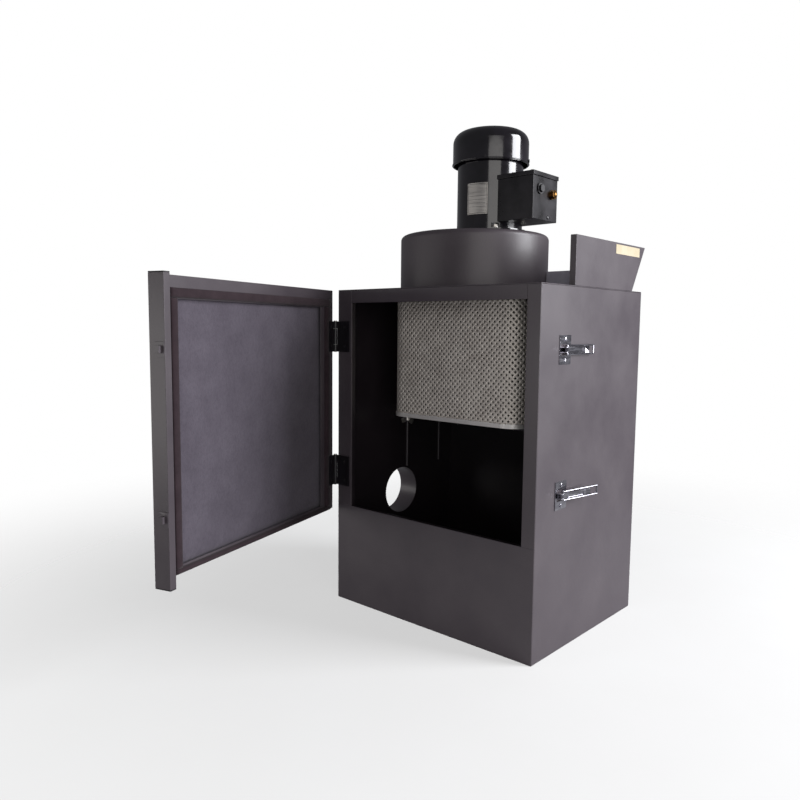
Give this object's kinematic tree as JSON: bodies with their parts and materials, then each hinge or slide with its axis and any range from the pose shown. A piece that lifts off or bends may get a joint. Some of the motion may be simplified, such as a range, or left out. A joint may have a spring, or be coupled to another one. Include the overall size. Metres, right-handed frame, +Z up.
{
  "type": "mist and dust collector",
  "caption": "Free-standing sheet-steel mist and dust collector with a hinged filter door, roof blower and motor, side inlet spigot and outlet cowl.",
  "frame": {"origin": "centre of the cabinet's base, on the floor", "axes": "+Z up, -Y out of the door opening, +X towards the latch side"},
  "size_m": [0.6621, 1.055, 1.1534],
  "materials": {
    "cabinet_paint": "satin dark grey enamel",
    "blower_paint": "satin dark grey enamel",
    "galvanised": "galvanised sheet",
    "bright_tin": "bright plated sheet",
    "pale_duct": "pale grey moulded plastic",
    "plated_steel": "zinc plated",
    "seal_rubber": "dull sponge rubber",
    "filter_media": "pleated filter felt",
    "impeller_metal": "bare steel",
    "shaft_steel": "ground steel",
    "motor_paint": "gloss black enamel",
    "copper_winding": "varnished copper",
    "black_plastic": "matte black",
    "gland_brass": "machined brass",
    "plate_metal": "blank satin plate",
    "label_stock": "blank cream label",
    "black_hinge": "black enamel",
    "door_foam": "matte grey foam",
    "latch_chrome": "bright chrome"
  },
  "bodies": {
    "cabinet": {"base_panel": "cabinet_paint", "top_panel": "cabinet_paint", "left_side_panel": "cabinet_paint", "right_side_panel": "cabinet_paint", "rear_panel": "cabinet_paint", "front_left_stile": "cabinet_paint", "front_right_stile": "cabinet_paint", "front_top_rail": "cabinet_paint", "front_lower_panel": "cabinet_paint", "inlet_spigot": "cabinet_paint", "cartridge_seal": "seal_rubber", "cartridge_top_frame": "galvanised", "cartridge_screen": "galvanised", "cartridge_media": "filter_media", "cartridge_inner_screen": "galvanised", "cartridge_bottom_cap": "bright_tin", "hanger_rods": "cabinet_paint", "clamp_bars": "cabinet_paint", "wing_nuts": "plated_steel", "blower_housing": "blower_paint", "blower_cover": "blower_paint", "fan_inlet_ring": "galvanised", "motor_flange": "motor_paint", "flange_bolts": "plated_steel", "motor_frame": "motor_paint", "motor_windings": "copper_winding", "motor_end_shield": "motor_paint", "shaft_bearings": "shaft_steel", "fan_cowl": "motor_paint", "cowl_screws": "motor_paint", "terminal_box": "motor_paint", "terminal_lid": "motor_paint", "cable_gland": "gland_brass", "blanking_plug": "black_plastic", "name_plate": "plate_metal", "outlet_neck": "pale_duct", "outlet_cowl": "cabinet_paint", "outlet_grille": "cabinet_paint", "blank_label": "label_stock", "cabinet_hinge_leaves": "black_hinge", "hinge_pins": "plated_steel", "latch_bases": "latch_chrome", "latch_rivets": "latch_chrome"},
    "rotor": {"motor_shaft": "shaft_steel", "motor_rotor": "impeller_metal", "impeller_backplate": "impeller_metal", "impeller_blades": "impeller_metal", "impeller_shroud": "impeller_metal", "cooling_fan": "black_plastic"},
    "door": {"door_hinge_leaves": "black_hinge", "door_pan": "cabinet_paint", "door_liner": "door_foam", "door_gasket": "seal_rubber", "door_edge_post": "cabinet_paint", "post_caps": "black_plastic", "latch_keepers": "cabinet_paint"},
    "upper_lever": {"upper_latch_lever": "latch_chrome"},
    "upper_bail": {"upper_latch_bail": "latch_chrome"},
    "lower_lever": {"lower_latch_lever": "latch_chrome"},
    "lower_bail": {"lower_latch_bail": "latch_chrome"}
  },
  "joints": [
    {"name": "door_hinge", "type": "hinge", "parent": "cabinet", "child": "door", "pos_m": [-0.294, -0.23225, 0.5], "axis": [0, 0, 1], "range_deg": [-97, 73]},
    {"name": "rotor_spin", "type": "hinge", "parent": "cabinet", "child": "rotor", "pos_m": [0, 0, 0.95], "axis": [0, 0, 1], "continuous": true},
    {"name": "upper_lever_hinge", "type": "hinge", "parent": "cabinet", "child": "upper_lever", "pos_m": [0.2965, -0.14, 0.647], "axis": [0, 0, -1], "range_deg": [0, 165]},
    {"name": "upper_bail_hinge", "type": "hinge", "parent": "upper_lever", "child": "upper_bail", "pos_m": [0.295, -0.132, 0.647], "axis": [0, 0, 1], "range_deg": [-180, 0]},
    {"name": "lower_lever_hinge", "type": "hinge", "parent": "cabinet", "child": "lower_lever", "pos_m": [0.2965, -0.14, 0.342], "axis": [0, 0, -1], "range_deg": [-10, 155]},
    {"name": "lower_bail_hinge", "type": "hinge", "parent": "lower_lever", "child": "lower_bail", "pos_m": [0.29641, -0.13186, 0.342], "axis": [0, 0, 1], "range_deg": [-173, 0]}
  ]
}
